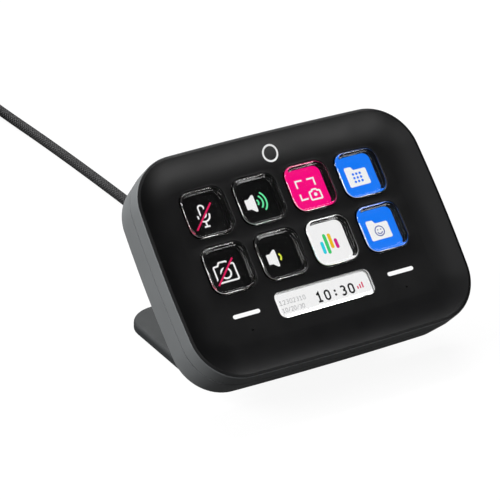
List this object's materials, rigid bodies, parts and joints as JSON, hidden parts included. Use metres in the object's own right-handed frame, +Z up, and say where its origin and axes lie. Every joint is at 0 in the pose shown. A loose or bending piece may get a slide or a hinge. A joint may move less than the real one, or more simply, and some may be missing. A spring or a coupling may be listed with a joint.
{
  "type": "desk key panel with picture keys",
  "caption": "Tilted desk key panel: dished black face, clear sprung keys over a picture panel, strip display, touch bars, grey case, fixed foot and braided lead with plug.",
  "frame": {"origin": "on the desk under the middle of the part's box, measured without the lead", "axes": "+X right, +Y to the back, +Z up; the face leans back at 45 degrees and looks towards -Y and up"},
  "size_m": [0.1108, 0.3026, 0.0703],
  "materials": {
    "black_abs": "fine matte moulded ABS",
    "grey_abs": "fine matte moulded ABS",
    "foot_abs": "fine matte moulded ABS",
    "black_moulding": "matte",
    "clear_silicone": "translucent",
    "contact_film": "printed film",
    "lcd_glass": "polished",
    "backlight": "light guide",
    "clear_acrylic": "polished clear acrylic",
    "clear_key": "polished clear acrylic",
    "strip_lcd": "polished",
    "white_light_bar": "satin",
    "lamp": "satin",
    "circuit_board": "solder mask",
    "chip": "moulded epoxy",
    "socket": "moulded nylon",
    "ribbon_film": "polyimide film",
    "screw_steel": "blackened steel",
    "gland_rubber": "moulded",
    "pad_rubber": "moulded",
    "pusher_rubber": "moulded silicone",
    "ballast_steel": "zinc plated",
    "braid": "braided nylon",
    "plug_rubber": "moulded",
    "plug_steel": "nickel plated",
    "plug_insulator": "moulded"
  },
  "bodies": {
    "body": {"faceplate": "black_abs", "front_housing": "grey_abs", "rear_housing": "grey_abs", "key_guide": "black_moulding", "key_sheet": "clear_silicone", "contact_sheet": "contact_film", "lcd_panel": "lcd_glass", "lcd_backlight": "backlight", "strip_window": "clear_acrylic", "strip_display": "strip_lcd", "touch_bar_left": "white_light_bar", "touch_bar_right": "white_light_bar", "touch_lamps": "lamp", "touch_board": "circuit_board", "tray": "black_moulding", "main_board": "circuit_board", "board_chips": "chip", "lead_socket": "socket", "lcd_ribbon": "ribbon_film", "touch_ribbon": "ribbon_film", "case_screws": "screw_steel", "board_screws": "screw_steel", "stand_screws": "screw_steel", "cord_gland": "gland_rubber", "stand_foot": "foot_abs", "foot_pad": "pad_rubber", "foot_ballast": "ballast_steel", "cord_lead": "braid", "cord_coil": "braid", "cord_tail": "braid", "plug_body": "plug_rubber", "plug_shell": "plug_steel", "plug_tongue": "plug_insulator"},
    "key_1": {"key_cap_1": "clear_key", "key_pusher_1": "pusher_rubber"},
    "key_2": {"key_cap_2": "clear_key", "key_pusher_2": "pusher_rubber"},
    "key_3": {"key_cap_3": "clear_key", "key_pusher_3": "pusher_rubber"},
    "key_4": {"key_cap_4": "clear_key", "key_pusher_4": "pusher_rubber"},
    "key_5": {"key_cap_5": "clear_key", "key_pusher_5": "pusher_rubber"},
    "key_6": {"key_cap_6": "clear_key", "key_pusher_6": "pusher_rubber"},
    "key_7": {"key_cap_7": "clear_key", "key_pusher_7": "pusher_rubber"},
    "key_8": {"key_cap_8": "clear_key", "key_pusher_8": "pusher_rubber"}
  },
  "joints": [
    {"name": "key_1_press", "type": "slide", "parent": "body", "child": "key_1", "axis": [0, 0.7071, -0.7071], "range_m": [0, 0.0012], "stiffness_N_per_m": 500, "springref_m": -0.0006},
    {"name": "key_2_press", "type": "slide", "parent": "body", "child": "key_2", "axis": [0, 0.7071, -0.7071], "range_m": [0, 0.0012], "stiffness_N_per_m": 500, "springref_m": -0.0006},
    {"name": "key_3_press", "type": "slide", "parent": "body", "child": "key_3", "axis": [0, 0.7071, -0.7071], "range_m": [0, 0.0012], "stiffness_N_per_m": 500, "springref_m": -0.0006},
    {"name": "key_4_press", "type": "slide", "parent": "body", "child": "key_4", "axis": [0, 0.7071, -0.7071], "range_m": [0, 0.0012], "stiffness_N_per_m": 500, "springref_m": -0.0006},
    {"name": "key_5_press", "type": "slide", "parent": "body", "child": "key_5", "axis": [0, 0.7071, -0.7071], "range_m": [0, 0.0012], "stiffness_N_per_m": 500, "springref_m": -0.0006},
    {"name": "key_6_press", "type": "slide", "parent": "body", "child": "key_6", "axis": [0, 0.7071, -0.7071], "range_m": [0, 0.0012], "stiffness_N_per_m": 500, "springref_m": -0.0006},
    {"name": "key_7_press", "type": "slide", "parent": "body", "child": "key_7", "axis": [0, 0.7071, -0.7071], "range_m": [0, 0.0012], "stiffness_N_per_m": 500, "springref_m": -0.0006},
    {"name": "key_8_press", "type": "slide", "parent": "body", "child": "key_8", "axis": [0, 0.7071, -0.7071], "range_m": [0, 0.0012], "stiffness_N_per_m": 500, "springref_m": -0.0006}
  ]
}
